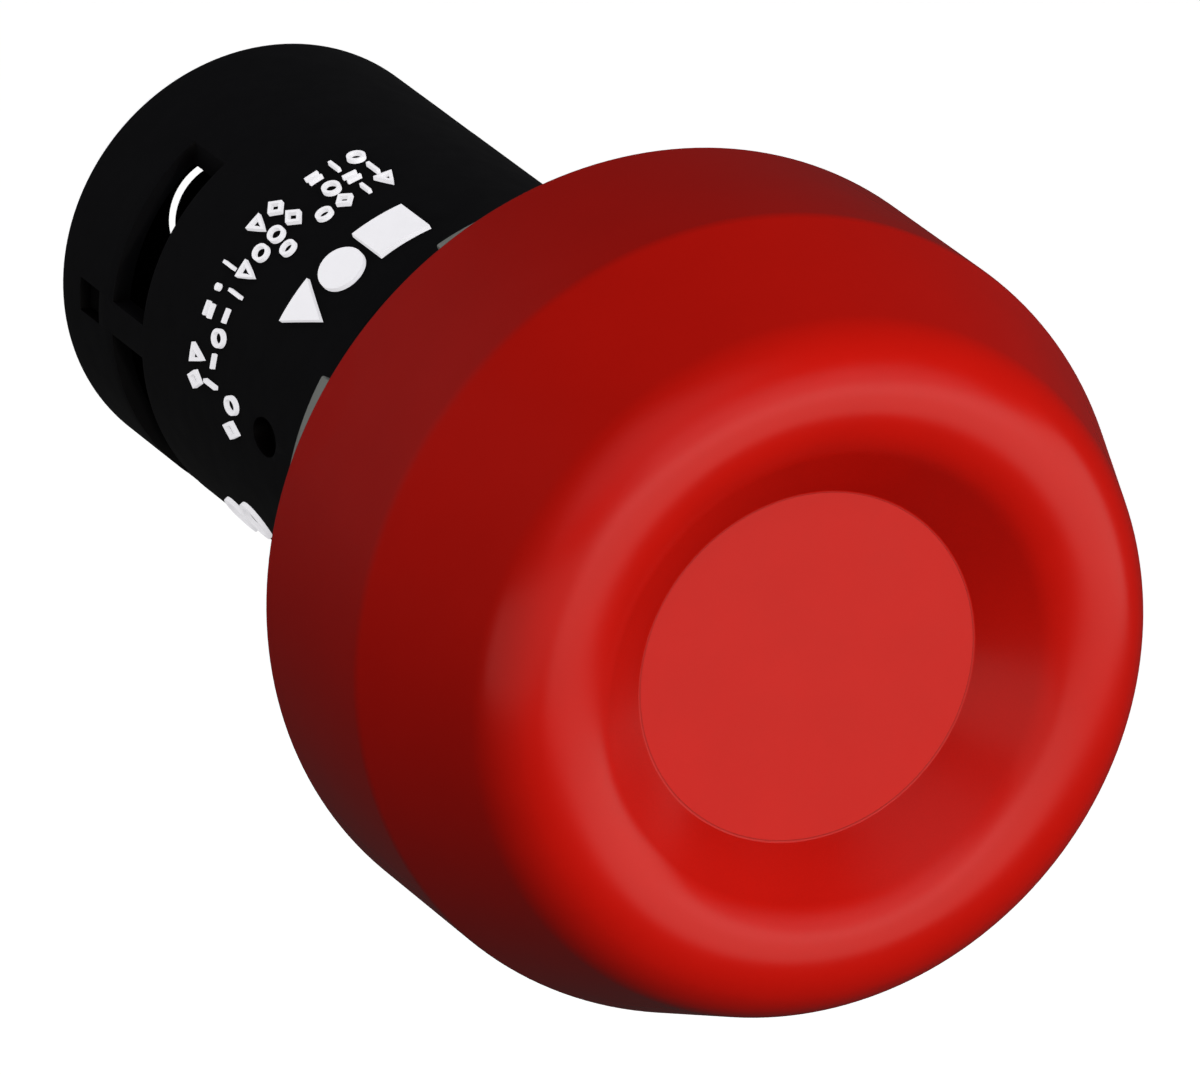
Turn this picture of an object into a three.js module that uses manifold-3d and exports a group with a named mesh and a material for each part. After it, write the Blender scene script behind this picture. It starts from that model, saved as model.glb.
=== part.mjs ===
// Emergency stop button: 40 mm mushroom head, 22 mm panel mounting, two normally closed contacts.
// Millimetres. The device axis is Y: the head faces -Y, the terminals face +Y, +Z is up.
// y = 0 is the plane where the gasket meets the front of the panel.
import * as THREE from 'three';
import { mergeVertices } from 'three/addons/utils/BufferGeometryUtils.js';
import Module from 'manifold-3d';

const wasm = await Module();
wasm.setup();

// ---- driving dimensions ----
const ROUND = 36;                 // facets round a large turned piece
const SMALL_ROUND = 16;           // facets round a small turned piece
const FINE_ROUND = 48;            // facets round the head, the nut and the rear housing
const FIT = 0.05;                 // gap between two pieces that rest on each other
const SLIDE = 0.15;               // gap round a piece that slides

const HEAD_R = 20;                // mushroom head
const RIM_Y = -4.45;              // rear edge of the head's skirt
const SKIRT_WALL = 2;
const SHOULDER = { r: 17.88, y: -14.68, radius: 2.12 };
const CREST = { r: 13.7, y: -21.3, radius: 4 };
const CONE_ANGLE = 18.2;          // flank of the head, degrees from the axis
const CRATER_R = 8.75;            // recess that holds the cap disc
const CRATER_TOP = { r: 11.1, y: -24.36 };
const DISC_Y = -22.4;             // front of the cap disc
const DISC_THICK = 1.25;
const RECESS_Y = DISC_Y + DISC_THICK + FIT;
const BOSS_R = 6.5;
const BOSS_REAR_Y = -13;
const SCREW_SEAT_Y = -18.4;
const SCREW_WELL_R = 3.2;
const HEAD_INSIDE = [[18, -14], [15.6, -21], [13.7, -22.8], [11.6, -21.6], [9.6, -19], [BOSS_R, -18.8]];
const PRESS_TRAVEL = 4;
const SCREW = { hole: 1.6, shank: 1.45, tip: 1.1, headR: 2.9, tailY: -9.2, cross: 1.7, slot: 0.35 };

const STEM_R = 5.6;
const STEM_REAR_Y = 8.5;
const STEM_HOLE = { r: 1.55, frontEnd: -8.8, rearDepth: 2.5 };
const SEAL_GROOVE = { r: 4.6, y0: -4.3, y1: -2.7 };
const SEAL = { r: 5.38, y: -3.5, section: 0.7 };
const TAPER = { shoulder: -2, y0: 0, y1: 4, r0: 4.2, r1: 5 };
const PUSHER_R = 2.8;
const PEG = { r: 1.45, length: 2.3 };
const CROSSBAR = { y: 18.2, thick: 2, halfX: 1.6, halfZ: 5.4 };

const COLLAR_R = 14.75;
const COLLAR_FRONT_Y = -4.6;
const GASKET_THICK = 1.2;
const NECK_R = 9.5;
const NECK_FRONT_Y = BOSS_REAR_Y + PRESS_TRAVEL + 0.4;
const BORE_R = 6.2;
const BORE_LIP_R = 5.75;
const THREAD = { pitch: 1.5, core: 10.05, crest: 10.95, halfRoot: 0.655, halfCrest: 0.12 };
const SINK = 0.15;                // how far a thread's ridge is rooted in its core
const THREAD_Y0 = 0.9;
const THREAD_Y1 = 9.5;
const THREAD_STEPS = 24;          // facets per turn
const SLEEVE = { rOut: 9.25, rIn: 7.6, y1: 16.5, flange: 1, hole: 3.4 };
const SHOULDER_Y = 10.2;          // rear end of the threaded stretch
const KEYWAY_WIDTH = 2.2;
const KEYWAY_R = 9.4;
const SNAP_BOSS = { x: 9.6, length: 1.4, half: 0.65, stretch: 1.5 };
const DETENT_Y = 4;               // where the two detent pins cross the barrel
const DETENT_HOLE = [[1.45, 5], [1.45, 9.3]];
const DETENT_PIN = [[0.5, 5.15], [1.3, 5.95], [1.3, 7.35]];
const DETENT_COIL = { r: 0.9, wire: 0.16, x0: 7.42, x1: 9.22, turns: 3, steps: 8 };
const MAIN_COIL = { r: 4, wire: 0.25, turns: 4, steps: 12 };

const WASHER = { y: 2.2, thick: 0.8, rIn: 11.2, rOut: 14.2 };
const NUT = { y: 3.1, flange: 1.6, height: 2.9, rFlange: 15, rHub: 12.9, bore: 11.12, notches: 4 };
const NUT_THREAD = { root: 11.27, crest: 10.25, halfRoot: 0.61, halfCrest: 0.1, turns: 5 };
const NOTCH_ANGLE = 32;
const FIRST_NOTCH = 45;           // degrees from +X towards +Z

const BODY_R = 10.96;
const BODY_Y0 = 10.4;
const BODY_Y1 = 40.67;
const BODY_BORE = 9.4;
const REAR_BORE = { r: 10.05, y: 29.6 };
const LEDGE = { r: 8.95, y0: 17, y1: 27.4 };
const SLOT = { y0: 30.75, y1: 34.45, x: 6.67, z: 0.85 };
const WINDOW = { y0: 36.1, y1: 38.4, width: 1.7 };
const OVAL = { y: 15.9, length: 2.7, width: 1.9 };

const COVER = { y0: 37.6, y1: 40.3, r: 9.9, hole: 3 };
const HOOK_ARM = { x0: 8.8, x1: 9.8, y0: 35.9, y1: 38.5, half: 0.6 };
const HOOK_NIB = { x0: 9.7, x1: 10.6, y0: 36.3, y1: 37.9 };
const POLE = 3.57;                // x and z of each terminal's axis
const TOWER = { rOut: 2.85, rIn: 2.45, y1: 37.2, doorFrom: 0.9, doorTo: 6, doorHalf: 2 };
const BASE_PLATE = { y0: 27.5, y1: 29, r: 9.25 };
const CENTRE_POST_R = 1.4;
const RAIL = { x0: 7.1, x1: 8.6, y: 17.6, half: 4.9 };
const STRIP = { foot: 19.4, footThick: 0.7, thick: 0.8, xIn: 3, xOut: 7, plate: 30, half: 1.2 };
const STRIP_SLOT = { x0: 6.1, x1: 7.1, half: 1.3 };
const TAPPED_PLATE = { before: 1.6, after: 1.4, half: 1.8, hole: 1.3 };
const TERMINAL_SCREW = { tail: 29.3, seat: 33.8, top: 35.6, shank: 1.15, headR: 2.2 };
const TERMINAL_DRIVE = { depth: 0.9, reach: 1.6, half: 0.3 };
const TERMINAL_CLAMP = { y0: 32.9, half: 1.7, hole: 1.3 };
const TIP = { x: 4.2, r: 1.1, thick: 0.5, bridgeThick: 0.4 };
const BRIDGE = { y: 21.2, thick: 0.8, halfLength: 5.4, halfWidth: 1.3 };
const SPRING_PEG = { r: 0.8, length: 0.8 };
const CONTACT_COIL = { r: 1.15, wire: 0.2, turns: 4, steps: 9 };

// ---- materials ----
const LOOKS = {
  red: { color: 0xcb2e26, roughness: 0.35, metalness: 0 },
  black: { color: 0x17171a, roughness: 0.45, metalness: 0 },
  grey: { color: 0xb2b6b2, roughness: 0.5, metalness: 0 },
  rubber: { color: 0x1c1c1c, roughness: 0.85, metalness: 0 },
  cream: { color: 0xd8d2c0, roughness: 0.5, metalness: 0 },
  steel: { color: 0xb9bcc0, roughness: 0.3, metalness: 1 },
  brass: { color: 0xc8a24a, roughness: 0.35, metalness: 1 },
  silver: { color: 0xe4e4e6, roughness: 0.25, metalness: 1 },
};

// ---- solids ----
const object = new THREE.Group();

function solid(geometry) {
  const bare = geometry.index ? geometry.toNonIndexed() : geometry.clone();
  bare.deleteAttribute('normal');
  bare.deleteAttribute('uv');
  const merged = mergeVertices(bare, 1e-5);
  return new wasm.Manifold(new wasm.Mesh({
    numProp: 3,
    vertProperties: Float32Array.from(merged.attributes.position.array),
    triVerts: Uint32Array.from(merged.index.array),
  }));
}

function addPart(name, look, shape) {
  const mesh = shape.getMesh();
  const geometry = new THREE.BufferGeometry();
  geometry.setAttribute('position', new THREE.BufferAttribute(mesh.vertProperties, 3));
  geometry.setIndex(new THREE.BufferAttribute(mesh.triVerts, 1));
  geometry.computeVertexNormals();
  const part = new THREE.Mesh(geometry, new THREE.MeshStandardMaterial(LOOKS[look]));
  part.name = name;
  object.add(part);
}

// A profile of [r, y] points that runs anticlockwise: outwards at the front, rearwards outside.
function turned(profile, segments = ROUND) {
  const points = profile.map(([r, y]) => new THREE.Vector2(r, y));
  const onAxis = profile[0][0] === 0 && profile.at(-1)[0] === 0;
  if (!onAxis) points.push(points[0].clone());
  return solid(new THREE.LatheGeometry(points, segments));
}

function disc(r, y0, y1, segments = ROUND) {
  return turned([[0, y0], [r, y0], [r, y1], [0, y1]], segments);
}

function ring(rIn, rOut, y0, y1, segments = ROUND) {
  return turned([[rIn, y0], [rOut, y0], [rOut, y1], [rIn, y1]], segments);
}

function box(x0, x1, y0, y1, z0, z1) {
  const geometry = new THREE.BoxGeometry(x1 - x0, y1 - y0, z1 - z0);
  return solid(geometry.translate((x0 + x1) / 2, (y0 + y1) / 2, (z0 + z1) / 2));
}

// A disc whose axis is parallel to Y and passes through (x, z).
function post(x, z, r, y0, y1, segments = SMALL_ROUND) {
  const geometry = new THREE.CylinderGeometry(r, r, y1 - y0, segments);
  return solid(geometry.translate(x, (y0 + y1) / 2, z));
}

// A [x, z] outline, anticlockwise seen from the front, drawn out from y0 to y1.
function prism(outline, y0, y1) {
  const shape = new THREE.Shape(outline.map(([x, z]) => new THREE.Vector2(x, z)));
  const geometry = new THREE.ExtrudeGeometry(shape, { depth: y1 - y0, bevelEnabled: false });
  return solid(geometry.rotateX(Math.PI / 2).translate(0, y1, 0));
}

function arc(centre, radius, fromDegrees, toDegrees, steps) {
  return Array.from({ length: steps + 1 }, (_, i) => {
    const angle = THREE.MathUtils.degToRad(fromDegrees + (toDegrees - fromDegrees) * i / steps);
    return [centre.r + radius * Math.cos(angle), centre.y + radius * Math.sin(angle)];
  });
}

function ordered(a, b) {
  return [Math.min(a, b), Math.max(a, b)];
}

function degreesOf(dr, dy) {
  return THREE.MathUtils.radToDeg(Math.atan2(dy, dr));
}

// A sector of a ring about Y, from one angle to another (degrees from +X towards +Z).
function sector(rIn, rOut, from, to, y0, y1, steps = 8) {
  const corner = (r, angle) => [r * Math.cos(angle), r * Math.sin(angle)];
  const angles = Array.from({ length: steps + 1 }, (_, i) => (
    THREE.MathUtils.degToRad(from + (to - from) * i / steps)));
  const outer = angles.map((angle) => corner(rOut, angle));
  const inner = angles.map((angle) => corner(rIn, angle)).reverse();
  return prism([...outer, ...inner], y0, y1);
}

// A trapezoid swept along a right-hand helix about +Y: the ridge of a screw thread.
function threadRidge(rRoot, rCrest, halfRoot, halfCrest, y0, y1) {
  const steps = Math.round((y1 - y0) / THREAD.pitch * THREAD_STEPS);
  const section = [[rRoot, -halfRoot], [rCrest, -halfCrest], [rCrest, halfCrest], [rRoot, halfRoot]];
  const positions = [];
  for (let i = 0; i <= steps; i += 1) {
    const angle = 2 * Math.PI * i / THREAD_STEPS;
    const y = y0 + THREAD.pitch * i / THREAD_STEPS;
    for (const [r, dy] of section) positions.push(r * Math.sin(angle), y + dy, r * Math.cos(angle));
  }
  const faces = [0, 2, 1, 0, 3, 2];
  for (let i = 0; i < steps; i += 1) {
    for (let k = 0; k < section.length; k += 1) {
      const a = i * section.length + k;
      const b = i * section.length + (k + 1) % section.length;
      faces.push(a, b, a + section.length, b, b + section.length, a + section.length);
    }
  }
  const last = steps * section.length;
  faces.push(last, last + 1, last + 2, last, last + 2, last + 3);
  const geometry = new THREE.BufferGeometry();
  geometry.setAttribute('position', new THREE.Float32BufferAttribute(positions, 3));
  geometry.setIndex(faces);
  const ridge = solid(geometry);
  return ridge.volume() > 0 ? ridge : solid(flipped(geometry));
}

function flipped(geometry) {
  const faces = geometry.index.array;
  const turnedFaces = [];
  for (let i = 0; i < faces.length; i += 3) turnedFaces.push(faces[i], faces[i + 2], faces[i + 1]);
  const copy = geometry.clone();
  copy.setIndex(turnedFaces);
  return copy;
}

class Helix extends THREE.Curve {
  constructor(radius, length, turns) {
    super();
    this.radius = radius;
    this.length = length;
    this.turns = turns;
  }

  getPoint(t) {
    const angle = 2 * Math.PI * this.turns * t;
    return new THREE.Vector3(this.radius * Math.sin(angle), this.length * t, this.radius * Math.cos(angle));
  }
}

// A coil spring along +Y whose wire stays between y0 and y1.
function coilGeometry(radius, wire, y0, y1, turns, stepsPerTurn) {
  const sides = 5;
  const shape = new THREE.Shape(Array.from({ length: sides }, (_, i) => {
    const angle = 2 * Math.PI * i / sides;
    return new THREE.Vector2(wire * Math.cos(angle), wire * Math.sin(angle));
  }));
  const path = new Helix(radius, y1 - y0 - 2 * wire, turns);
  const geometry = new THREE.ExtrudeGeometry(shape, {
    steps: turns * stepsPerTurn,
    bevelEnabled: false,
    extrudePath: path,
  });
  return geometry.translate(0, y0 + wire, 0);
}

function spring({ r, wire, turns, steps }, y0, y1) {
  return solid(coilGeometry(r, wire, y0, y1, turns, steps));
}

// ---- the head and what moves with it ----
function mushroomHead() {
  const crestStart = degreesOf(CRATER_TOP.r - CREST.r, CRATER_TOP.y - CREST.y);
  return turned([
    [SCREW.hole, SCREW_SEAT_Y],
    [SCREW_WELL_R, SCREW_SEAT_Y],
    [SCREW_WELL_R, RECESS_Y],
    [CRATER_R, RECESS_Y],
    [CRATER_R, DISC_Y],
    ...arc(CREST, CREST.radius, crestStart, -CONE_ANGLE, 9),
    ...arc(SHOULDER, SHOULDER.radius, -CONE_ANGLE, 0, 3),
    [HEAD_R, RIM_Y - 0.3],
    [HEAD_R - 0.3, RIM_Y],
    [HEAD_R - SKIRT_WALL, RIM_Y],
    ...HEAD_INSIDE,
    [BOSS_R, BOSS_REAR_Y],
    [SCREW.hole, BOSS_REAR_Y],
  ], FINE_ROUND);
}

function capDisc() {
  const r = CRATER_R - 2 * FIT;
  const rear = DISC_Y + DISC_THICK;
  return turned([[0, DISC_Y], [r - 0.12, DISC_Y], [r, DISC_Y + 0.12], [r, rear], [0, rear]]);
}

function headScrew() {
  const front = RECESS_Y + 0.3;
  const seat = SCREW_SEAT_Y - FIT;
  const { shank, tip, headR, tailY, cross, slot } = SCREW;
  const slotFloor = front + 1;
  return turned([
    [0, front], [headR - 0.5, front], [headR, front + 0.5], [headR, seat],
    [shank, seat], [shank, tailY - 0.4], [tip, tailY], [0, tailY],
  ], SMALL_ROUND)
    .subtract(box(-cross, cross, front - 1, slotFloor, -slot, slot))
    .subtract(box(-slot, slot, front - 1, slotFloor, -cross, cross));
}

function stem() {
  const front = BOSS_REAR_Y + FIT;
  const socket = STEM_REAR_Y - STEM_HOLE.rearDepth;
  return turned([
    [STEM_HOLE.r, front], [STEM_R, front],
    [STEM_R, SEAL_GROOVE.y0], [SEAL_GROOVE.r, SEAL_GROOVE.y0],
    [SEAL_GROOVE.r, SEAL_GROOVE.y1], [STEM_R, SEAL_GROOVE.y1],
    [STEM_R, TAPER.shoulder], [TAPER.r0, TAPER.shoulder + 0.3],
    [TAPER.r0, TAPER.y0], [TAPER.r1, TAPER.y1],
    [TAPER.r1, STEM_REAR_Y], [STEM_HOLE.r, STEM_REAR_Y],
    [STEM_HOLE.r, socket], [0, socket],
    [0, STEM_HOLE.frontEnd], [STEM_HOLE.r, STEM_HOLE.frontEnd],
  ], THREAD_STEPS);
}

function stemSeal() {
  const shape = arc(SEAL, SEAL.section, -180, 180, 8);
  shape.pop();
  return turned(shape, THREAD_STEPS);
}

function pusher() {
  const front = STEM_REAR_Y + FIT;
  const { y, thick, halfX, halfZ } = CROSSBAR;
  const peg = turned([
    [0, front - PEG.length], [PEG.r, front - PEG.length], [PEG.r, front], [PUSHER_R, front],
    [PUSHER_R, y + thick / 2], [0, y + thick / 2],
  ], SMALL_ROUND);
  return peg.add(box(-halfX, halfX, y, y + thick, -halfZ, halfZ));
}

// ---- the front barrel and what clamps it to the panel ----
function frontBarrel() {
  const rear = SLEEVE.y1;
  const collarRear = -GASKET_THICK - FIT;
  let shape = turned([
    [BORE_LIP_R, NECK_FRONT_Y], [NECK_R - 0.4, NECK_FRONT_Y], [NECK_R, NECK_FRONT_Y + 0.4],
    [NECK_R, COLLAR_FRONT_Y], [COLLAR_R - 0.4, COLLAR_FRONT_Y], [COLLAR_R, COLLAR_FRONT_Y + 0.4],
    [COLLAR_R, collarRear], [THREAD.crest, collarRear], [THREAD.crest, 0.2],
    [THREAD.core, 0.5], [THREAD.core, SHOULDER_Y], [SLEEVE.rOut, SHOULDER_Y],
    [SLEEVE.rOut, rear], [SLEEVE.hole, rear],
    [SLEEVE.hole, rear - SLEEVE.flange], [SLEEVE.rIn, rear - SLEEVE.flange],
    [SLEEVE.rIn, SHOULDER_Y], [BORE_R, SHOULDER_Y - 0.6],
    [BORE_R, COLLAR_FRONT_Y], [BORE_LIP_R, COLLAR_FRONT_Y],
  ], THREAD_STEPS);
  shape = shape.add(threadRidge(THREAD.core - SINK, THREAD.crest, THREAD.halfRoot, THREAD.halfCrest,
    THREAD_Y0, THREAD_Y1));
  const half = KEYWAY_WIDTH / 2;
  shape = shape.subtract(box(-half, half, 0.3, SHOULDER_Y + 1, KEYWAY_R, 12));
  for (const side of [-1, 1]) {
    shape = shape.subtract(radialPin(side, DETENT_HOLE));
    shape = shape.add(snapBoss(side));
  }
  return shape;
}

// The oval boss that snaps into the rear housing's side hole.
function snapBoss(side) {
  const { x, length, half, stretch } = SNAP_BOSS;
  const boss = new THREE.CylinderGeometry(half, half, length, SMALL_ROUND);
  boss.rotateZ(Math.PI / 2).scale(1, stretch, 1);
  return solid(boss.translate(side * x, OVAL.y, 0));
}

// Lays a shape that was made along +Y out along X at the detents, on the given side.
function acrossBarrel(geometry, side) {
  geometry.rotateZ(-Math.PI / 2);
  if (side < 0) geometry.rotateY(Math.PI);
  return solid(geometry.translate(0, DETENT_Y, 0));
}

// A turned pin across the barrel; the profile holds [radius, x] points.
function radialPin(side, profile) {
  const points = [[0, profile[0][1]], ...profile, [0, profile.at(-1)[1]]];
  const outline = points.map(([r, x]) => new THREE.Vector2(r, x));
  return acrossBarrel(new THREE.LatheGeometry(outline, SMALL_ROUND), side);
}

function detentSpring(side) {
  const { r, wire, x0, x1, turns, steps } = DETENT_COIL;
  return acrossBarrel(coilGeometry(r, wire, x0, x1, turns, steps), side);
}

function clampWasher() {
  const key = KEYWAY_WIDTH / 2 - SLIDE;
  return ring(WASHER.rIn, WASHER.rOut, WASHER.y, WASHER.y + WASHER.thick)
    .add(box(-key, key, WASHER.y, WASHER.y + WASHER.thick, KEYWAY_R + SLIDE, WASHER.rIn + 0.5));
}

function mountingNut() {
  const top = NUT.y + NUT.height;
  let shape = turned([
    [NUT.bore, NUT.y], [NUT.rFlange - 0.3, NUT.y], [NUT.rFlange, NUT.y + 0.3],
    [NUT.rFlange, NUT.y + NUT.flange - 0.3], [NUT.rFlange - 0.3, NUT.y + NUT.flange],
    [NUT.rHub, NUT.y + NUT.flange], [NUT.rHub, top], [NUT.bore, top],
  ], FINE_ROUND);
  for (let i = 0; i < NUT.notches; i += 1) {
    const from = FIRST_NOTCH - NOTCH_ANGLE / 2 + i * 360 / NUT.notches;
    const to = from + NOTCH_ANGLE;
    shape = shape.subtract(sector(NUT.rHub, NUT.rFlange + 2, from, to, NUT.y - 1, top + 1, 6));
  }
  const { root, crest, halfRoot, halfCrest, turns } = NUT_THREAD;
  const first = THREAD_Y0 + THREAD.pitch / 2;
  const ridge = threadRidge(root, crest, halfRoot, halfCrest, first, first + turns * THREAD.pitch);
  return shape.add(ridge.intersect(ring(THREAD.core, NUT.bore + 0.4, NUT.y, top, FINE_ROUND)));
}

// ---- the rear housing and the contacts in it ----
function rearHousing() {
  let shape = turned([
    [BODY_BORE, BODY_Y0], [BODY_R - 0.2, BODY_Y0], [BODY_R, BODY_Y0 + 0.2], [BODY_R, BODY_Y1 - 0.2],
    [BODY_R - 0.2, BODY_Y1], [REAR_BORE.r, BODY_Y1], [REAR_BORE.r, REAR_BORE.y],
    [BODY_BORE, REAR_BORE.y], [BODY_BORE, LEDGE.y1], [LEDGE.r, LEDGE.y1],
    [LEDGE.r, LEDGE.y0], [BODY_BORE, LEDGE.y0],
  ], FINE_ROUND);
  const outside = BODY_R + 1;
  for (const side of [-1, 1]) {
    for (const mirror of [-1, 1]) {
      const across = ordered(side * SLOT.x, side * outside);
      const up = ordered(mirror * SLOT.z, mirror * outside);
      shape = shape.subtract(box(...across, SLOT.y0, SLOT.y1, ...up));
    }
  }
  const half = WINDOW.width / 2;
  for (const side of [-1, 1]) {
    const [x0, x1] = ordered(side * (BODY_BORE - 1), side * outside);
    shape = shape.subtract(box(x0, x1, WINDOW.y0, WINDOW.y1, -half, half));
    const hole = new THREE.CylinderGeometry(OVAL.width / 2, OVAL.width / 2, 4, 20);
    hole.rotateZ(Math.PI / 2).scale(1, OVAL.length / OVAL.width, 1);
    shape = shape.subtract(solid(hole.translate(side * (BODY_R - 0.5), OVAL.y, 0)));
  }
  return shape;
}

function rearCover() {
  let shape = turned([
    [0, COVER.y0], [COVER.r, COVER.y0], [COVER.r, COVER.y1 - 0.3], [COVER.r - 0.3, COVER.y1], [0, COVER.y1],
  ]);
  for (const side of [-1, 1]) {
    const { half } = HOOK_ARM;
    const arm = ordered(side * HOOK_ARM.x0, side * HOOK_ARM.x1);
    const nib = ordered(side * HOOK_NIB.x0, side * HOOK_NIB.x1);
    shape = shape
      .add(box(...arm, HOOK_ARM.y0, HOOK_ARM.y1, -half, half))
      .add(box(...nib, HOOK_NIB.y0, HOOK_NIB.y1, -half, half));
  }
  forEachPole((x, z) => {
    shape = shape.subtract(post(x, z, COVER.hole, COVER.y0 - 1, COVER.y1 + 1));
  });
  return shape;
}

function forEachPole(make) {
  let number = 1;
  for (const z of [POLE, -POLE]) {
    for (const x of [-POLE, POLE]) {
      make(x, z, number);
      number += 1;
    }
  }
}

function contactBlock() {
  const { y0, y1, r } = BASE_PLATE;
  const joint = 0.5;
  let shape = disc(r, y0, y1).add(post(0, 0, CENTRE_POST_R, y1 - joint, COVER.y0 - FIT));
  for (const side of [-1, 1]) {
    const [x0, x1] = ordered(side * RAIL.x0, side * RAIL.x1);
    const rail = box(x0, x1, RAIL.y, y0 + joint, -RAIL.half, RAIL.half);
    shape = shape.add(rail.intersect(disc(LEDGE.r - 2 * FIT, RAIL.y - 1, y0 + 1)));
  }
  for (const z of [-POLE, POLE]) shape = shape.add(post(0, z, SPRING_PEG.r, y0 - 1, y0 + joint, 12));
  forEachPole((x, z) => {
    const out = Math.sign(x);
    const door = ordered(x + out * TOWER.doorFrom, x + out * TOWER.doorTo);
    const slit = ordered(out * STRIP_SLOT.x0, out * STRIP_SLOT.x1);
    shape = shape
      .add(post(x, z, TOWER.rOut, y1 - joint, TOWER.y1))
      .subtract(post(x, z, TOWER.rIn, y1, TOWER.y1 + 1))
      .subtract(box(...door, y1, SLOT.y1, z - TOWER.doorHalf, z + TOWER.doorHalf))
      .subtract(box(...slit, y0 - 1, y1 + 1, z - STRIP_SLOT.half, z + STRIP_SLOT.half));
  });
  return shape;
}

// A C-shaped strip: a foot that carries the silver tip, a riser and a tapped terminal plate.
function fixedContact(x, z) {
  const out = Math.sign(x);
  const { foot, footThick, thick, xIn, xOut, plate, half } = STRIP;
  const { before, after, hole } = TAPPED_PLATE;
  const span = (a, b, y0, y1, wide = half) => (
    box(...ordered(out * a, out * b), y0, y1, z - wide, z + wide));
  return span(xIn, xOut, foot, foot + footThick)
    .add(span(xOut - thick, xOut, foot, plate + thick))
    .add(span(POLE, xOut, plate, plate + thick))
    .add(span(POLE - before, POLE + after, plate, plate + thick, TAPPED_PLATE.half))
    .subtract(post(x, z, hole, plate - 1, plate + 2));
}

function terminalScrew(x, z) {
  const { tail, seat, top, shank, headR } = TERMINAL_SCREW;
  const { depth, reach, half } = TERMINAL_DRIVE;
  return post(x, z, shank, tail, seat + 0.2)
    .add(post(x, z, headR, seat, top))
    .subtract(box(x - half, x + half, top - depth, top + 1, z - reach, z + reach))
    .subtract(box(x - reach, x + reach, top - depth, top + 1, z - half, z + half));
}

function terminalClamp(x, z) {
  const { y0, half, hole } = TERMINAL_CLAMP;
  const y1 = TERMINAL_SCREW.seat - FIT;
  return box(x - half, x + half, y0, y1, z - half, z + half)
    .subtract(post(x, z, hole, y0 - 1, y1 + 1));
}

function bridge(z) {
  const { y, thick, halfLength, halfWidth } = BRIDGE;
  return box(-halfLength, halfLength, y, y + thick, z - halfWidth, z + halfWidth)
    .add(post(0, z, SPRING_PEG.r, y + thick - 0.2, y + thick + SPRING_PEG.length, 12));
}

// ---- assembly ----
addPart('mushroom_head', 'red', mushroomHead());
addPart('head_cap_disc', 'red', capDisc());
addPart('head_screw', 'steel', headScrew());
addPart('stem', 'black', stem());
addPart('stem_seal', 'rubber', stemSeal());
addPart('pusher', 'cream', pusher());

addPart('front_barrel', 'black', frontBarrel());
addPart('panel_gasket', 'rubber', ring(THREAD.crest + 0.4, COLLAR_R - 0.15, -GASKET_THICK, 0));
addPart('clamp_washer', 'steel', clampWasher());
addPart('mounting_nut', 'grey', mountingNut());
for (const [side, label] of [[-1, 'left'], [1, 'right']]) {
  addPart(`detent_pin_${label}`, 'steel', radialPin(side, DETENT_PIN));
  addPart(`detent_spring_${label}`, 'steel', detentSpring(side));
}
addPart('main_spring', 'steel', spring(MAIN_COIL, STEM_REAR_Y + FIT, SLEEVE.y1 - SLEEVE.flange - FIT));

addPart('rear_housing', 'black', rearHousing());
addPart('rear_cover', 'black', rearCover());
addPart('contact_block', 'black', contactBlock());
forEachPole((x, z, number) => {
  const tipX = Math.sign(x) * TIP.x;
  const tipFront = STRIP.foot + STRIP.footThick + FIT;
  const tipRear = BRIDGE.y - FIT;
  addPart(`fixed_contact_${number}`, 'brass', fixedContact(x, z));
  addPart(`fixed_tip_${number}`, 'silver', post(tipX, z, TIP.r, tipFront, tipFront + TIP.thick));
  addPart(`terminal_screw_${number}`, 'steel', terminalScrew(x, z));
  addPart(`terminal_clamp_${number}`, 'steel', terminalClamp(x, z));
  addPart(`bridge_tip_${number}`, 'silver', post(tipX, z, TIP.r, tipRear - TIP.bridgeThick, tipRear));
});
for (const [z, label] of [[POLE, 'upper'], [-POLE, 'lower']]) {
  addPart(`contact_bridge_${label}`, 'brass', bridge(z));
  const coil = spring(CONTACT_COIL, BRIDGE.y + BRIDGE.thick + FIT, BASE_PLATE.y0 - FIT);
  addPart(`contact_spring_${label}`, 'steel', coil.translate([0, 0, z]));
}

export default object;
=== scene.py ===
"""Emergency stop button: fine surfaces, materials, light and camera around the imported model.

Lengths in the code are millimetres in the row frame (head towards -Y, +Z up); MM turns them to metres.
"""
import math

import bmesh
import bpy
from mathutils import Matrix, Vector


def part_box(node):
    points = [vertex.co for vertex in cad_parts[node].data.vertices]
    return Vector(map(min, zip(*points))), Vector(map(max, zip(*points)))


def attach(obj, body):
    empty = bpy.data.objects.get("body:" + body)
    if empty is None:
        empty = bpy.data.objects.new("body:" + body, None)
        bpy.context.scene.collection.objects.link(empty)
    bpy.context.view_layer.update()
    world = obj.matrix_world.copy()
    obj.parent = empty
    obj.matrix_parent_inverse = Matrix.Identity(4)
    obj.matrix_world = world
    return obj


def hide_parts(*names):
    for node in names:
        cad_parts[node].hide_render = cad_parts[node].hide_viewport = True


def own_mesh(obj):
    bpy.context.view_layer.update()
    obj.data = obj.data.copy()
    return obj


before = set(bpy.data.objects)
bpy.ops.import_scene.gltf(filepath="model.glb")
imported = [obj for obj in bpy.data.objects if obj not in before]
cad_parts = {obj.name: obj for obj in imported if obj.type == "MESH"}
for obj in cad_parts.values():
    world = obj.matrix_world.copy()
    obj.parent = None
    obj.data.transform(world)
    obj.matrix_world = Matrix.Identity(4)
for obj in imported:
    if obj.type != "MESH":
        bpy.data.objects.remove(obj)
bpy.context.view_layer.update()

MM = 0.001
FULL_TURN = 2 * math.pi


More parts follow.
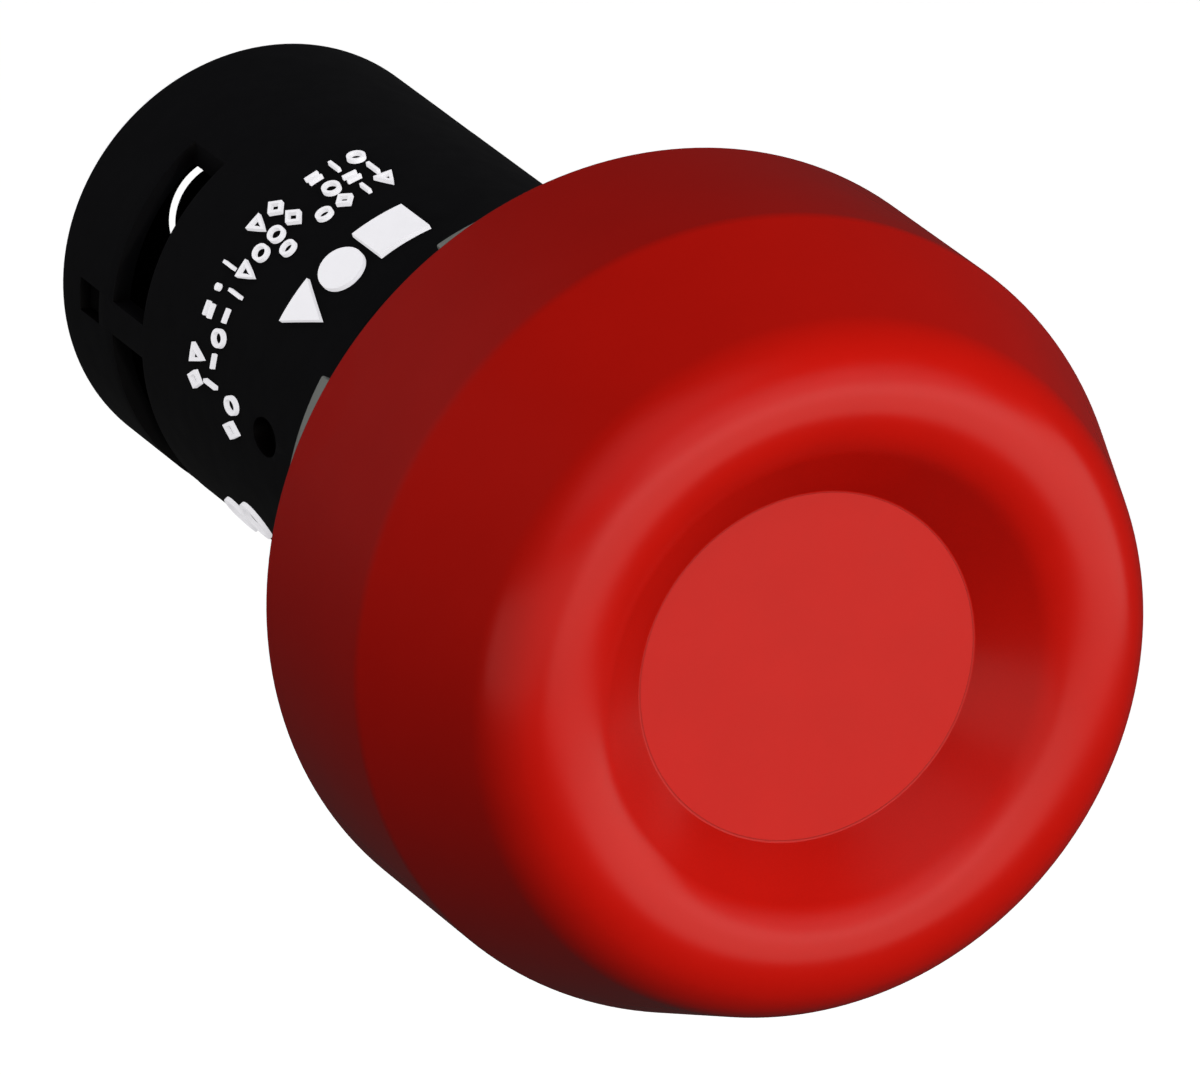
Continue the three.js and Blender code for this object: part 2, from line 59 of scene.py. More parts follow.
def extent(node):
    """Lowest and highest corner of a CAD node, in millimetres."""
    low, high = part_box(node)
    return low / MM, high / MM


# ---- driving dimensions, read from the frame ----
head_low, head_high = extent("mushroom_head")
disc_low, disc_high = extent("head_cap_disc")
body_low, body_high = extent("rear_housing")
cover_high = extent("rear_cover")[1]
collar_low = extent("front_barrel")[0]
gasket_low, gasket_high = extent("panel_gasket")
washer_low, washer_high = extent("clamp_washer")
nut_low, nut_high = extent("mounting_nut")
stem_low, stem_high = extent("stem")

HEAD_R = head_high.x
RIM_Y = head_high.y
DISC_R = disc_high.x
DISC_Y = disc_low.y
BODY_Y0, BODY_Y1 = body_low.y, body_high.y
NUT_R = nut_high.x

# ---- driving dimensions, the same as in the part's source ----
BODY_R = 10.96
COLLAR_R = 14.75
OVAL_Y = 15.9
POLE = 3.57
PITCH = 1.5
FIT = 0.05

# ---- mesh helpers ----


def fillet(corners, closed=True, step_degrees=9):
    """A polygon of (r, y, radius) corners with each corner rounded by its radius."""
    outline = []
    count = len(corners)
    for i, (r, y, radius) in enumerate(corners):
        here = Vector((r, y))
        at_end = not closed and i in (0, count - 1)
        if radius <= 0 or at_end:
            outline.append((r, y))
            continue
        before = Vector(corners[i - 1][:2]) - here
        after = Vector(corners[(i + 1) % count][:2]) - here
        angle = before.angle(after)
        reach = min(radius / math.tan(angle / 2), 0.48 * before.length, 0.48 * after.length)
        true_radius = reach * math.tan(angle / 2)
        middle = (before.normalized() + after.normalized()).normalized()
        centre = here + middle * (true_radius / math.sin(angle / 2))
        first = here + before.normalized() * reach - centre
        last = here + after.normalized() * reach - centre
        sweep = first.angle_signed(last)
        steps = max(2, round(abs(math.degrees(sweep)) / step_degrees))
        for k in range(steps + 1):
            turn = -sweep * k / steps
            outline.append((
                centre.x + first.x * math.cos(turn) - first.y * math.sin(turn),
                centre.y + first.x * math.sin(turn) + first.y * math.cos(turn),
            ))
    return outline


def arc(centre, radius, start, end, steps):
    """Points on a circle in the (r, y) plane, between two angles in degrees."""
    angles = [math.radians(start + (end - start) * k / steps) for k in range(steps + 1)]
    return [(centre[0] + radius * math.cos(a), centre[1] + radius * math.sin(a)) for a in angles]


def revolve(outline, segments=128, centre=(0, 0)):
    """A bmesh turned about the Y axis (or a parallel one through centre = (x, z)).
    The outline is a closed ring of (r, y), or starts and ends on the axis."""
    bm = bmesh.new()
    rings = []
    for r, y in outline:
        if r < 1e-6:
            vertex = bm.verts.new((centre[0], y, centre[1]))
            rings.append([vertex] * segments)
            continue
        ring = []
        for k in range(segments):
            angle = FULL_TURN * k / segments
            ring.append(bm.verts.new((centre[0] + r * math.cos(angle), y, centre[1] + r * math.sin(angle))))
        rings.append(ring)
    on_axis = outline[0][0] < 1e-6 and outline[-1][0] < 1e-6
    pairs = list(zip(rings[:-1], rings[1:]))
    if not on_axis:
        pairs.append((rings[-1], rings[0]))
    for low, high in pairs:
        for k in range(segments):
            nxt = (k + 1) % segments
            corners = []
            for vertex in (low[k], low[nxt], high[nxt], high[k]):
                if vertex not in corners:
                    corners.append(vertex)
            if len(corners) > 2:
                bm.faces.new(corners)
    bmesh.ops.recalc_face_normals(bm, faces=bm.faces)
    return bm


def prism(outline, y0, y1):
    """A bmesh drawn out along Y from a flat outline of (x, z)."""
    bm = bmesh.new()
    front = [bm.verts.new((x, y0, z)) for x, z in outline]
    rear = [bm.verts.new((x, y1, z)) for x, z in outline]
    bm.faces.new(front)
    bm.faces.new(list(reversed(rear)))
    count = len(outline)
    for k in range(count):
        nxt = (k + 1) % count
        bm.faces.new((front[k], rear[k], rear[nxt], front[nxt]))
    bmesh.ops.recalc_face_normals(bm, faces=bm.faces)
    return bm


def block(x0, x1, y0, y1, z0, z1):
    return prism([(x0, z0), (x1, z0), (x1, z1), (x0, z1)], y0, y1)


def sector(r_in, r_out, start, end, y0, y1, steps=16):
    """Part of a ring about Y between two angles, in degrees from +X towards +Z."""
    angles = [math.radians(start + (end - start) * k / steps) for k in range(steps + 1)]
    outer = [(r_out * math.cos(a), r_out * math.sin(a)) for a in angles]
    inner = [(r_in * math.cos(a), r_in * math.sin(a)) for a in reversed(angles)]
    return prism(outer + inner, y0, y1)


def rod(x, z, radius, y0, y1, segments=32):
    outline = [(0, y0), (radius, y0), (radius, y1), (0, y1)]
    return revolve(outline, segments, centre=(x, z))


def radial_rod(side, y, half_y, half_z, x0, x1, segments=40):
    """An oval bar along X, on the +X side (side 1) or the -X side (side -1)."""
    bm = bmesh.new()
    ends = []
    for x in (x0, x1):
        ring = []
        for k in range(segments):
            angle = FULL_TURN * k / segments
            ring.append(bm.verts.new((side * x, y + half_y * math.cos(angle), half_z * math.sin(angle))))
        ends.append(ring)
    for ring in ends:
        bm.faces.new(ring)
    for k in range(segments):
        nxt = (k + 1) % segments
        bm.faces.new((ends[0][k], ends[0][nxt], ends[1][nxt], ends[1][k]))
    bmesh.ops.recalc_face_normals(bm, faces=bm.faces)
    return bm


def helix_tube(radius, wire, y0, y1, turns, steps=28, sides=10):
    """A coil spring along Y whose end turns lie closer together."""
    bm = bmesh.new()
    total = round(turns * steps)
    rings = []
    for k in range(total + 1):
        share = k / total
        eased = share - math.sin(FULL_TURN * share) / FULL_TURN * 0.55
        angle = FULL_TURN * turns * share
        y = y0 + wire + (y1 - y0 - 2 * wire) * eased
        ring = []
        for s in range(sides):
            turn = FULL_TURN * s / sides
            r = radius + wire * math.cos(turn)
            ring.append(bm.verts.new((r * math.cos(angle), y + wire * math.sin(turn), r * math.sin(angle))))
        rings.append(ring)
    for low, high in zip(rings[:-1], rings[1:]):
        for s in range(sides):
            nxt = (s + 1) % sides
            bm.faces.new((low[s], low[nxt], high[nxt], high[s]))
    bm.faces.new(rings[0])
    bm.faces.new(rings[-1])
    bmesh.ops.recalc_face_normals(bm, faces=bm.faces)
    return bm


def thread_ridge(r_root, r_crest, half_root, half_crest, y0, y1, steps=72):
    """A thread's ridge: a trapezoid along a right-hand helix, fading into the core at both ends."""
    bm = bmesh.new()
    count = round((y1 - y0) / PITCH * steps)
    rings = []
    for k in range(count + 1):
        angle = FULL_TURN * k / steps
        y = y0 + PITCH * k / steps
        fade = min(1, k / (steps / 4), (count - k) / (steps / 4))
        crest = r_root + (r_crest - r_root) * (0.15 + 0.85 * fade)
        ring = []
        for r, dy in ((r_root, -half_root), (crest, -half_crest), (crest, half_crest), (r_root, half_root)):
            ring.append(bm.verts.new((r * math.sin(angle), y + dy, r * math.cos(angle))))
        rings.append(ring)
    for low, high in zip(rings[:-1], rings[1:]):
        for s in range(4):
            nxt = (s + 1) % 4
            bm.faces.new((low[s], low[nxt], high[nxt], high[s]))
    bm.faces.new(rings[0])
    bm.faces.new(rings[-1])
    bmesh.ops.recalc_face_normals(bm, faces=bm.faces)
    return bm


def as_object(name, bm):
    """A linked object, in metres, from a bmesh in millimetres."""
    bmesh.ops.transform(bm, matrix=Matrix.Scale(MM, 4), verts=bm.verts)
    mesh = bpy.data.meshes.new(name)
    bm.to_mesh(mesh)
    bm.free()
    obj = bpy.data.objects.new(name, mesh)
    bpy.context.scene.collection.objects.link(obj)
    return obj


def apply_modifiers(obj):
    """Bakes the object's modifiers into its mesh."""
    bpy.context.view_layer.update()
    graph = bpy.context.evaluated_depsgraph_get()
    baked = bpy.data.meshes.new_from_object(obj.evaluated_get(graph))
    old = obj.data
    obj.modifiers.clear()
    obj.data = baked
    baked.name = obj.name
    bpy.data.meshes.remove(old)


def combine(obj, tools, operation):
    """Cuts the tools (bmeshes) out of obj, or joins them to it."""
    helpers = [as_object(f"tool_{k}", bm) for k, bm in enumerate(tools)]
    for helper in helpers:
        modifier = obj.modifiers.new("combine", "BOOLEAN")
        modifier.operation = operation
        modifier.solver = "EXACT"
        modifier.object = helper
        apply_modifiers(obj)
    for helper in helpers:
        mesh = helper.data
        bpy.data.objects.remove(helper)
        bpy.data.meshes.remove(mesh)
    return obj


def shared_space(shape, tool):
    """A bmesh, in millimetres, of the space inside two bmeshes."""
    helper = as_object("tool_shared", shape)
    combine(helper, [tool], "INTERSECT")
    bm = bmesh.new()
    bm.from_mesh(helper.data)
    bmesh.ops.transform(bm, matrix=Matrix.Scale(1 / MM, 4), verts=bm.verts)
    bpy.data.objects.remove(helper)
    return bm


def bevel(obj, width, angle=50):
    """Rounds every edge sharper than an angle in degrees; width in millimetres."""
    modifier = obj.modifiers.new("bevel", "BEVEL")
    modifier.width = width * MM
    modifier.segments = 2
    modifier.limit_method = "ANGLE"
    modifier.angle_limit = math.radians(angle)
    modifier.use_clamp_overlap = True
    modifier.miter_outer = "MITER_ARC"
    apply_modifiers(obj)
    return obj


def clean(obj):
    """Merges stray close vertices and drops faces with no area."""
    bm = bmesh.new()
    bm.from_mesh(obj.data)
    bmesh.ops.remove_doubles(bm, verts=bm.verts, dist=2e-6)
    bmesh.ops.dissolve_degenerate(bm, edges=bm.edges, dist=1e-6)
    bm.to_mesh(obj.data)
    bm.free()


def piece(obj, body, material, replaces=(), sharp=32):
    """Gives a finished mesh its shading, material and body, and hides the CAD nodes it replaces."""
    for polygon in obj.data.polygons:
        polygon.use_smooth = True
    obj.data.set_sharp_from_angle(angle=math.radians(sharp))
    obj.data.materials.clear()
    obj.data.materials.append(material)
    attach(obj, body)
    if replaces:
        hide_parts(*replaces)
    return obj


# ---- materials ----


class Surface:
    """A Principled material with helpers for procedural colour, roughness and bump."""

    def __init__(self, name, colour, roughness, metallic=0.0):
        self.material = bpy.data.materials.new(name)
        self.material.use_nodes = True
        self.tree = self.material.node_tree
        self.shader = self.tree.nodes["Principled BSDF"]
        self.shader.inputs["Base Color"].default_value = (*colour, 1)
        self.shader.inputs["Roughness"].default_value = roughness
        self.shader.inputs["Metallic"].default_value = metallic
        self.colour = colour
        self.coordinates = self.tree.nodes.new("ShaderNodeTexCoord").outputs["Object"]

    def node(self, kind, **inputs):
        made = self.tree.nodes.new(kind)
        for key, value in inputs.items():
            made.inputs[key].default_value = value
        return made

    def link(self, output, target):
        self.tree.links.new(output, target)

    def noise(self, scale, detail=3.0, stretch=None):
        made = self.node("ShaderNodeTexNoise", Scale=scale, Detail=detail)
        source = self.coordinates
        if stretch:
            mapping = self.node("ShaderNodeMapping", Scale=stretch)
            self.link(source, mapping.inputs["Vector"])
            source = mapping.outputs["Vector"]
        self.link(source, made.inputs["Vector"])
        return made.outputs["Fac"]

    def spread(self, factor, low, high, start=0.3, end=0.7):
        made = self.node("ShaderNodeMapRange")
        made.inputs["From Min"].default_value = start
        made.inputs["From Max"].default_value = end
        made.inputs["To Min"].default_value = low
        made.inputs["To Max"].default_value = high
        self.link(factor, made.inputs["Value"])
        return made.outputs["Result"]

    def vary_roughness(self, low, high, scale, stretch=None):
        self.link(self.spread(self.noise(scale, 4, stretch), low, high), self.shader.inputs["Roughness"])

    def vary_colour(self, amount, scale):
        """Mottles the colour by a share of itself."""
        mix = self.tree.nodes.new("ShaderNodeMix")
        mix.data_type = "RGBA"
        mix.inputs[6].default_value = (*[c * (1 - amount) for c in self.colour], 1)
        mix.inputs[7].default_value = (*[min(1, c * (1 + amount)) for c in self.colour], 1)
        self.link(self.spread(self.noise(scale, 5), 0, 1), mix.inputs[0])
        self.link(mix.outputs[2], self.shader.inputs["Base Color"])

    def shade_hollows(self, reach, depth):
        """Paints shade into the colour where nearby surfaces close it in, by an ambient occlusion node; reach
        in millimetres.
        """
        shade = self.tree.nodes.new("ShaderNodeAmbientOcclusion")
        shade.samples = 8
        shade.inputs["Distance"].default_value = reach * MM
        darker = self.tree.nodes.new("ShaderNodeMix")
        darker.data_type = "RGBA"
        darker.blend_type = "MULTIPLY"
        darker.inputs[7].default_value = (depth, depth * 0.6, depth * 0.6, 1)
        source = self.shader.inputs["Base Color"].links[0].from_socket
        self.link(self.spread(shade.outputs["AO"], 1, 0, 0.5, 1.0), darker.inputs[0])
        self.link(source, darker.inputs[6])
        self.link(darker.outputs[2], self.shader.inputs["Base Color"])

    def grain(self, scale, height, strength=0.5, second=None):
        """Fine moulding grain: bump from one or two scales of noise, heights in millimetres."""
        bump = self.node("ShaderNodeBump", Strength=strength, Distance=height * MM)
        self.link(self.noise(scale, 2), bump.inputs["Height"])
        if second:
            wide = self.node("ShaderNodeBump", Strength=strength, Distance=second[1] * MM)
            self.link(self.noise(second[0], 2), wide.inputs["Height"])
            self.link(wide.outputs["Normal"], bump.inputs["Normal"])
        self.link(bump.outputs["Normal"], self.shader.inputs["Normal"])


def red_plastic(name, colour, hollow_shade=1.0):
    surface = Surface(name, colour, 0.36)
    surface.shader.inputs["Specular IOR Level"].default_value = 0.42
    surface.vary_colour(0.02, 260)
    surface.vary_roughness(0.24, 0.27, 420)
    surface.grain(9000, 0.003, 0.3, second=(700, 0.004))
    # painted shade: the colour darkens where the shell's own surfaces close it in
    if hollow_shade < 1:
        surface.shade_hollows(9, hollow_shade)
    return surface.material


def black_plastic(name, colour, roughness, grain_height, gloss=0.5):
    surface = Surface(name, colour, roughness)
    surface.shader.inputs["Specular IOR Level"].default_value = gloss
    surface.vary_colour(0.08, 500)
    surface.vary_roughness(roughness - 0.03, roughness + 0.04, 650)
    surface.grain(7000, grain_height, 0.3, second=(900, 0.003))
    # painted shade: every black plastic is darkened where its surfaces close it in
    surface.shade_hollows(4, 0.25)
    return surface.material


def grey_plastic():
    surface = Surface("grey_plastic", (0.45, 0.47, 0.45), 0.5)
    surface.vary_colour(0.08, 600)
    surface.vary_roughness(0.44, 0.58, 700)
    surface.grain(6000, 0.010, 0.5, second=(1100, 0.015))
    return surface.material


def rubber():
    surface = Surface("black_rubber", (0.02, 0.02, 0.02), 0.8)
    surface.vary_colour(0.2, 800)
    surface.vary_roughness(0.72, 0.88, 900)
    surface.grain(5000, 0.02, 0.6)
    return surface.material


def cream_plastic():
    surface = Surface("cream_plastic", (0.62, 0.57, 0.45), 0.5)
    surface.vary_colour(0.06, 500)
    surface.vary_roughness(0.45, 0.58, 800)
    surface.grain(5000, 0.01, 0.4)
    return surface.material


def glowing_white_mark():
    surface = Surface("glowing_white_mark", (0.87, 0.86, 0.90), 0.5)
    # painted light: the marks glow faintly though they are no lamp, so they look brighter than the light on
    # them makes them
    surface.shader.inputs["Emission Color"].default_value = (0.97, 0.96, 1.0, 1)
    surface.shader.inputs["Emission Strength"].default_value = 0.60
    surface.vary_colour(0.05, 1800)
    surface.vary_roughness(0.44, 0.60, 1500)
    surface.grain(6000, 0.008, 0.5)
    return surface.material


def metal(name, colour, roughness, brushed=(1, 12, 1)):
    surface = Surface(name, colour, roughness, 1.0)
    surface.vary_colour(0.06, 900)
    surface.vary_roughness(roughness - 0.07, roughness + 0.10, 1400, brushed)
    surface.grain(4000, 0.004, 0.4)
    return surface.material


# the shell gets painted shade in its crater and hollows; the cap disc gets none
RED_SHELL = red_plastic("red_shell_plastic", (0.65, 0.0072, 0.0028), 0.12)
RED_CAP = red_plastic("red_cap_plastic", (0.65, 0.0090, 0.0045))
BLACK_BODY = black_plastic("black_body_plastic", (0.0060, 0.0060, 0.0076), 0.46, 0.003)
# painted shade: a darker, less glossy copy of the black plastic for the barrel, stem, contact block and rear
# cover, so the slots into the housing look shaded
SHADED_BLACK_PARTS = black_plastic("shaded_black_part_plastic", (0.0022, 0.0022, 0.0024), 0.55, 0.004, 0.12)
GREY = grey_plastic()
RUBBER = rubber()
CREAM = cream_plastic()
GLOWING_WHITE = glowing_white_mark()
STEEL = metal("zinc_steel", (0.60, 0.61, 0.62), 0.34)
BRASS = metal("plain_brass", (0.72, 0.50, 0.20), 0.33)
SILVER = metal("silver_rivet", (0.83, 0.83, 0.84), 0.27)

# ---- the head ----
CREST = (13.7, DISC_Y + 1.1)
CREST_RADIUS = 4.0
CRATER_TOP = (11.1, DISC_Y - 1.96)
SHOULDER = (17.88, DISC_Y + 7.72)
SHOULDER_RADIUS = HEAD_R - SHOULDER[0]
CONE_ANGLE = 18.2
RECESS_R = DISC_R + 0.008
SKIRT_R = HEAD_R - 2
SCREW_HOLE_R = 1.6
SCREW_WELL_R = 3.2
SCREW_SEAT_Y = -18.4
POCKET_Y = DISC_Y + 1.3
BOSS_R = 6.5
BOSS_REAR_Y = -13


def mushroom_head():
    start = math.degrees(math.atan2(CRATER_TOP[1] - CREST[1], CRATER_TOP[0] - CREST[0]))
    front = fillet([(SCREW_HOLE_R, SCREW_SEAT_Y, 0.1), (SCREW_WELL_R, SCREW_SEAT_Y, 0.1),
                    (SCREW_WELL_R, POCKET_Y, 0.1), (RECESS_R, POCKET_Y, 0.1), (RECESS_R, DISC_Y, 0),
                    (RECESS_R + 0.10, DISC_Y, 0.25), (*CRATER_TOP, 0)], closed=False)[:-1]
    crest = arc(CREST, CREST_RADIUS, start, -CONE_ANGLE, 72)
    shoulder = arc(SHOULDER, SHOULDER_RADIUS, -CONE_ANGLE, 0, 14)
    rear = fillet([(HEAD_R, SHOULDER[1], 0), (HEAD_R, RIM_Y, 0.35), (SKIRT_R, RIM_Y, 0.6), (SKIRT_R, -14, 2),
                   (15.6, -21, 1.2), (13.7, -22.8, 1.2), (11.6, -21.6, 1.2), (9.6, -19, 1),
                   (BOSS_R, -18.8, 1), (BOSS_R, BOSS_REAR_Y, 0.4), (SCREW_HOLE_R, BOSS_REAR_Y, 0.2),
                   (SCREW_HOLE_R, SCREW_SEAT_Y, 0)], closed=False)
    outline = front + crest + shoulder + rear[1:-1]
    shell = as_object("mushroom_head_shell", revolve(outline, 192))
    return piece(shell, "head", RED_SHELL, ["mushroom_head"])


def cap_disc():
    outline = fillet([(0, DISC_Y, 0), (DISC_R, DISC_Y, 0), (DISC_R, disc_high.y, 0.1),
                      (0, disc_high.y, 0)], closed=False, step_degrees=15)
    disc = as_object("cap_disc_insert", revolve(outline, 160))
    return piece(disc, "head", RED_CAP, ["head_cap_disc"])


STEM_R = 5.6
STEM_HOLE_R = 1.55
SEAL_GROOVE_R, SEAL_GROOVE_Y0, SEAL_GROOVE_Y1 = 4.6, -4.3, -2.7
TAPER_R0, TAPER_R1 = 4.2, 5


def stem():
    low, high = stem_low.y, stem_high.y
    outline = fillet([(STEM_HOLE_R, low, 0.1), (STEM_R, low, 0.3), (STEM_R, SEAL_GROOVE_Y0, 0.15),
                      (SEAL_GROOVE_R, SEAL_GROOVE_Y0, 0.1), (SEAL_GROOVE_R, SEAL_GROOVE_Y1, 0.1),
                      (STEM_R, SEAL_GROOVE_Y1, 0.15), (STEM_R, -2, 0.15), (TAPER_R0, -1.7, 0.1),
                      (TAPER_R0, 0, 0), (TAPER_R1, 4, 0.2), (TAPER_R1, high, 0.2), (STEM_HOLE_R, high, 0.1),
                      (STEM_HOLE_R, high - 2.5, 0), (1.5, -8.8, 0)])
    shape = as_object("stem_turned", revolve(outline, 96))
    return piece(shape, "head", SHADED_BLACK_PARTS, ["stem"])


def stem_seal():
    shape = as_object("stem_seal_ring", revolve(arc((5.38, -3.5), 0.7, 0, 345, 23), 96))
    return piece(shape, "head", RUBBER, ["stem_seal"])


# ---- the barrel and its clamping parts ----
THREAD_CORE, THREAD_CREST = 10.05, 10.95
THREAD_ROOT_HALF, THREAD_CREST_HALF = 0.655, 0.12
THREAD_START = 0.9
THREAD_END = 10.2
COLLAR_FRONT_Y, COLLAR_REAR_Y = -4.6, -1.25
NECK_R = 9.5
BORE_LIP_R, STEM_BORE_R = 5.75, 6.2
SLEEVE_R, SLEEVE_BORE_R, SLEEVE_HOLE_R = 9.25, 7.6, 3.4
SLEEVE_Y0, SLEEVE_Y1 = 15.5, 16.5
KEYWAY_HALF, KEY_HALF = 1.1, 0.95
KEYWAY_R, KEY_R = 9.4, 9.55
GASKET_BORE_R, WASHER_BORE_R = 11.35, 11.2


def front_barrel():
    neck_y = collar_low.y
    outline = fillet([(BORE_LIP_R, neck_y, 0.2), (NECK_R, neck_y, 0.5), (NECK_R, COLLAR_FRONT_Y, 0.3),
                      (COLLAR_R, COLLAR_FRONT_Y, 0.5), (COLLAR_R, COLLAR_REAR_Y, 0.2),
                      (THREAD_CREST, COLLAR_REAR_Y, 0.1), (THREAD_CREST, 0.2, 0.1), (THREAD_CORE, 0.5, 0.1),
                      (THREAD_CORE, THREAD_END, 0.15), (SLEEVE_R, THREAD_END, 0.1), (SLEEVE_R, SLEEVE_Y1, 0.2),
                      (SLEEVE_HOLE_R, SLEEVE_Y1, 0.1), (SLEEVE_HOLE_R, SLEEVE_Y0, 0.1),
                      (SLEEVE_BORE_R, SLEEVE_Y0, 0.2), (SLEEVE_BORE_R, THREAD_END, 0.2),
                      (STEM_BORE_R, 9.6, 0.1), (STEM_BORE_R, COLLAR_FRONT_Y, 0.1),
                      (BORE_LIP_R, COLLAR_FRONT_Y, 0.1)])
    barrel = as_object("front_barrel_turned", revolve(outline, 144))
    ridge = thread_ridge(THREAD_CORE - 0.15, THREAD_CREST, THREAD_ROOT_HALF, THREAD_CREST_HALF,
                         THREAD_START, 9.5)
    combine(barrel, [ridge], "UNION")
    keyway = block(-KEYWAY_HALF, KEYWAY_HALF, 0.3, 11.2, KEYWAY_R, 12)
    combine(barrel, [keyway], "DIFFERENCE")
    combine(barrel, [radial_rod(side, OVAL_Y, 0.98, 0.65, 9.0, 10.3) for side in (-1, 1)], "UNION")
    clean(barrel)
    bevel(barrel, 0.05, angle=55)
    return piece(barrel, "base", SHADED_BLACK_PARTS, ["front_barrel"])


def gasket():
    inner, outer = GASKET_BORE_R, gasket_high.x
    outline = fillet([(inner, gasket_low.y, 0.1), (outer, gasket_low.y, 0.25),
                      (outer, gasket_high.y, 0.25), (inner, gasket_high.y, 0.1)])
    shape = as_object("panel_gasket_ring", revolve(outline, 144))
    return piece(shape, "base", RUBBER, ["panel_gasket"])


def clamp_washer():
    y0, y1 = washer_low.y, washer_high.y
    inner, outer = WASHER_BORE_R, washer_high.x
    outline = fillet([(inner, y0, 0.06), (outer, y0, 0.12), (outer, y1, 0.12), (inner, y1, 0.06)])
    shape = as_object("clamp_washer_keyed", revolve(outline, 144))
    key = block(-KEY_HALF, KEY_HALF, y0 + 0.01, y1 - 0.01, KEY_R, inner + 0.5)
    combine(shape, [key], "UNION")
    clean(shape)
    return piece(shape, "washer", STEEL, ["clamp_washer"])


NOTCH_MIDDLES = (45, 135, 225, 315)
NOTCH_HALF_ANGLE = 16


def mounting_nut():
    y0, y1 = nut_low.y, nut_high.y
    flange_y, hub_r, bore = y0 + 1.6, 12.9, 11.12
    outline = fillet([(bore, y0, 0.15), (NUT_R, y0, 0.25), (NUT_R, flange_y, 0.25), (hub_r, flange_y, 0.2),
                      (hub_r, y1, 0.3), (bore, y1, 0.15)])
    nut = as_object("mounting_nut_castellated", revolve(outline, 192))
    notches = [sector(hub_r, 17, middle - NOTCH_HALF_ANGLE, middle + NOTCH_HALF_ANGLE, y0 - 1, y1 + 1)
               for middle in NOTCH_MIDDLES]
    combine(nut, notches, "DIFFERENCE")
    round_corners(nut, NUT_R - 0.35, 0.5)
    first = THREAD_START + PITCH / 2
    ridge = thread_ridge(bore + 0.15, THREAD_CORE + 0.2, 0.61, 0.1, first, first + 5 * PITCH)
    slab = revolve([(THREAD_CORE, y0 + 0.05), (bore + 0.4, y0 + 0.05), (bore + 0.4, y1 - 0.05),
                    (THREAD_CORE, y1 - 0.05)], 144)
    combine(nut, [shared_space(ridge, slab)], "UNION")
    clean(nut)
    return piece(nut, "nut", GREY, ["mounting_nut"])


def round_corners(obj, beyond, width):
    """Rounds the upright edges of an object that lie further than a radius from the Y axis."""
    bm = bmesh.new()
    bm.from_mesh(obj.data)
    chosen = []
    for edge in bm.edges:
        if len(edge.link_faces) != 2 or edge.calc_face_angle(0) < math.radians(50):
            continue
        if all(math.hypot(v.co.x, v.co.z) > beyond * MM for v in edge.verts):
            chosen.append(edge)
    bmesh.ops.bevel(bm, geom=chosen, offset=width * MM, offset_type="OFFSET", segments=5, profile=0.5,
                    affect="EDGES", clamp_overlap=True)
    bm.to_mesh(obj.data)
    bm.free()


# ---- the rear housing ----
SLOT_Y0, SLOT_Y1 = 30.75, 34.45
SLOT_X, SLOT_Z = 6.67, 0.85
WINDOW_HALF = 0.85
WINDOW_Y0, WINDOW_Y1 = 36.1, 38.4
BORE_R = 9.4
REAR_BORE_R, REAR_BORE_Y = 10.05, 29.6
LEDGE_R, LEDGE_Y0, LEDGE_Y1 = 8.95, 17.0, 27.4
OUTSIDE = 12                      # where a cut that opens outwards ends


def rear_housing():
    grid = [BODY_Y0 + 1.0 + 1.6 * k for k in range(18)]
    outer = fillet([(BORE_R, BODY_Y0, 0.05), (BODY_R, BODY_Y0, 0.18), (BODY_R, BODY_Y0 + 0.8, 0)], closed=False)
    outer += [(BODY_R, y) for y in grid]
    rear = fillet([(BODY_R, BODY_Y1 - 1.2, 0), (BODY_R, BODY_Y1, 0.18), (REAR_BORE_R, BODY_Y1, 0.15),
                   (REAR_BORE_R, BODY_Y1 - 1.2, 0)], closed=False)
    inner = [(REAR_BORE_R, REAR_BORE_Y), (BORE_R, REAR_BORE_Y), (BORE_R, LEDGE_Y1), (LEDGE_R, LEDGE_Y1),
             (LEDGE_R, LEDGE_Y0), (BORE_R, LEDGE_Y0)]
    body = as_object("rear_housing_shell", revolve(outer + rear + inner, 160))
    cuts = []
    for side in (-1, 1):
        for mirror in (-1, 1):
            across = sorted((side * SLOT_X, side * OUTSIDE))
            up = sorted((mirror * SLOT_Z, mirror * OUTSIDE))
            cuts.append(block(*across, SLOT_Y0, SLOT_Y1, *up))
    for side in (-1, 1):
        across = sorted((side * 8.4, side * OUTSIDE))
        cuts.append(block(*across, WINDOW_Y0, WINDOW_Y1, -WINDOW_HALF, WINDOW_HALF))
    for side in (-1, 1):
        cuts.append(radial_rod(side, OVAL_Y, 1.35, 0.95, 8.2, OUTSIDE))
    combine(body, cuts, "DIFFERENCE")
    clean(body)
    bevel(body, 0.07)
    return piece(body, "base", BLACK_BODY, ["rear_housing"])


COVER_HOLE_R = 3.0
COVER_FRONT_Y = 37.6
COVER_R = 9.9


def poles():
    return [(x, z) for z in (POLE, -POLE) for x in (-POLE, POLE)]


def rear_cover():
    y0, y1 = COVER_FRONT_Y, cover_high.y
    outline = fillet([(0, y0, 0), (COVER_R, y0, 0.1), (COVER_R, y1, 0.3), (0, y1, 0)], closed=False)
    cover = as_object("rear_cover_plate", revolve(outline, 144))
    holes = [rod(x, z, COVER_HOLE_R, y0 - 1, y1 + 1, 72) for x, z in poles()]
    half, reach, groove_y = 0.5, 6.2, y1 - 0.35
    cross = [block(-half, half, groove_y, y1 + 1, -reach, reach),
             block(-reach, reach, groove_y, y1 + 1, -half, half)]
    combine(cover, holes + cross, "DIFFERENCE")
    for side in (-1, 1):
        arm = sorted((side * 8.8, side * 9.8))
        nib = sorted((side * 9.7, side * 10.6))
        combine(cover, [block(*arm, 35.9, 38.5, -0.6, 0.6), block(*nib, 36.3, 37.9, -0.6, 0.6)], "UNION")
    clean(cover)
    bevel(cover, 0.05)
    return piece(cover, "base", SHADED_BLACK_PARTS, ["rear_cover"])


